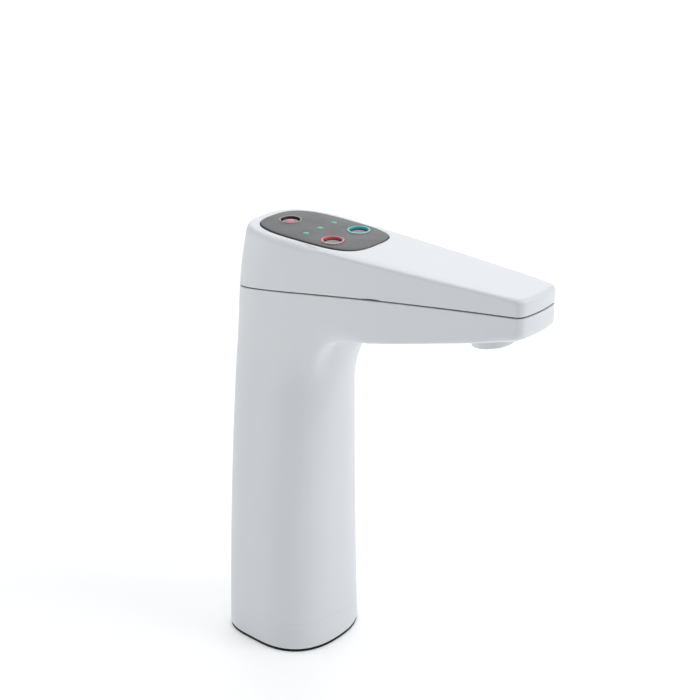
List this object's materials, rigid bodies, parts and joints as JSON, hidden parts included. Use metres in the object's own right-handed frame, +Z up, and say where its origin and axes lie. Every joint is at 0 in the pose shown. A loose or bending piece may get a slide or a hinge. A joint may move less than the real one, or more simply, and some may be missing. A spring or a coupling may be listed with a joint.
{
  "type": "boiling water dispenser",
  "caption": "Deck-mounted boiling and chilled water dispenser: waisted column, long wedge-shaped head with a recessed-button panel on top and a short outlet under the tip.",
  "frame": {"origin": "centre of the foot's underside, on the deck", "axes": "+X along the spout from the column to the tip, +Y across the head, +Z up from the deck"},
  "size_m": [0.1802, 0.0638, 0.234],
  "materials": {
    "white_gloss": "satin gloss moulding",
    "panel_grey": "fine matt",
    "cap_grey": "fine matt",
    "ring_grey": "satin",
    "black_rubber": "matt",
    "black_plastic": "matt",
    "red_light": "translucent, lit from below",
    "turquoise_light": "translucent, lit from below",
    "green_light": "translucent, lit from below",
    "lamp": "clear moulding",
    "steel": "machined",
    "screw_steel": "zinc plated",
    "spring_steel": "drawn wire",
    "board_green": "solder resist over glass fibre",
    "hot_silicone": "silicone",
    "chilled_tube_blue": "polyethylene",
    "cable_grey": "smooth sheath"
  },
  "bodies": {
    "dispenser": {"base_gasket": "black_rubber", "base_grommet": "black_rubber", "base_plate": "steel", "base_screw_1": "screw_steel", "base_screw_2": "screw_steel", "base_screw_3": "screw_steel", "base_screw_4": "screw_steel", "board_carrier": "black_plastic", "board_connector": "black_plastic", "board_screw_1": "screw_steel", "board_screw_2": "screw_steel", "board_screw_3": "screw_steel", "board_screw_4": "screw_steel", "body_shell": "white_gloss", "boil_button_spring": "spring_steel", "boil_led": "lamp", "boil_light_ring": "red_light", "boil_switch": "black_plastic", "cable_socket": "black_plastic", "chilled_button_spring": "spring_steel", "chilled_inlet_fitting": "steel", "chilled_led": "lamp", "chilled_light_ring": "turquoise_light", "chilled_switch": "black_plastic", "chilled_tube": "chilled_tube_blue", "circuit_board": "board_green", "control_panel": "panel_grey", "hot_inlet_fitting": "steel", "hot_tube": "hot_silicone", "joint_seal": "black_rubber", "nozzle_insert": "ring_grey", "nozzle_nut": "steel", "nozzle_seal": "black_rubber", "outlet_nozzle": "white_gloss", "panel_gasket": "black_rubber", "safety_button_ring": "ring_grey", "safety_button_spring": "spring_steel", "safety_led": "lamp", "safety_switch": "black_plastic", "signal_cable": "cable_grey", "status_led_1": "lamp", "status_led_2": "lamp", "status_led_3": "lamp", "status_light_guide": "green_light", "top_cover": "white_gloss", "tube_guide": "black_plastic"},
    "boil_press": {"boil_button": "cap_grey"},
    "chilled_press": {"chilled_button": "cap_grey"},
    "safety_press": {"safety_button": "cap_grey", "safety_button_lens": "red_light"}
  },
  "joints": [
    {"name": "boil_button_travel", "type": "slide", "parent": "dispenser", "child": "boil_press", "axis": [0, 0, -1], "range_m": [0, 0.0008], "stiffness_N_per_m": 600, "springref_m": -0.0015, "deforming": ["boil_button_spring"]},
    {"name": "chilled_button_travel", "type": "slide", "parent": "dispenser", "child": "chilled_press", "axis": [0, 0, -1], "range_m": [0, 0.0008], "stiffness_N_per_m": 600, "springref_m": -0.0015, "deforming": ["chilled_button_spring"]},
    {"name": "safety_button_travel", "type": "slide", "parent": "dispenser", "child": "safety_press", "axis": [0, 0, -1], "range_m": [0, 0.0008], "stiffness_N_per_m": 600, "springref_m": -0.0015, "deforming": ["safety_button_spring"]}
  ]
}
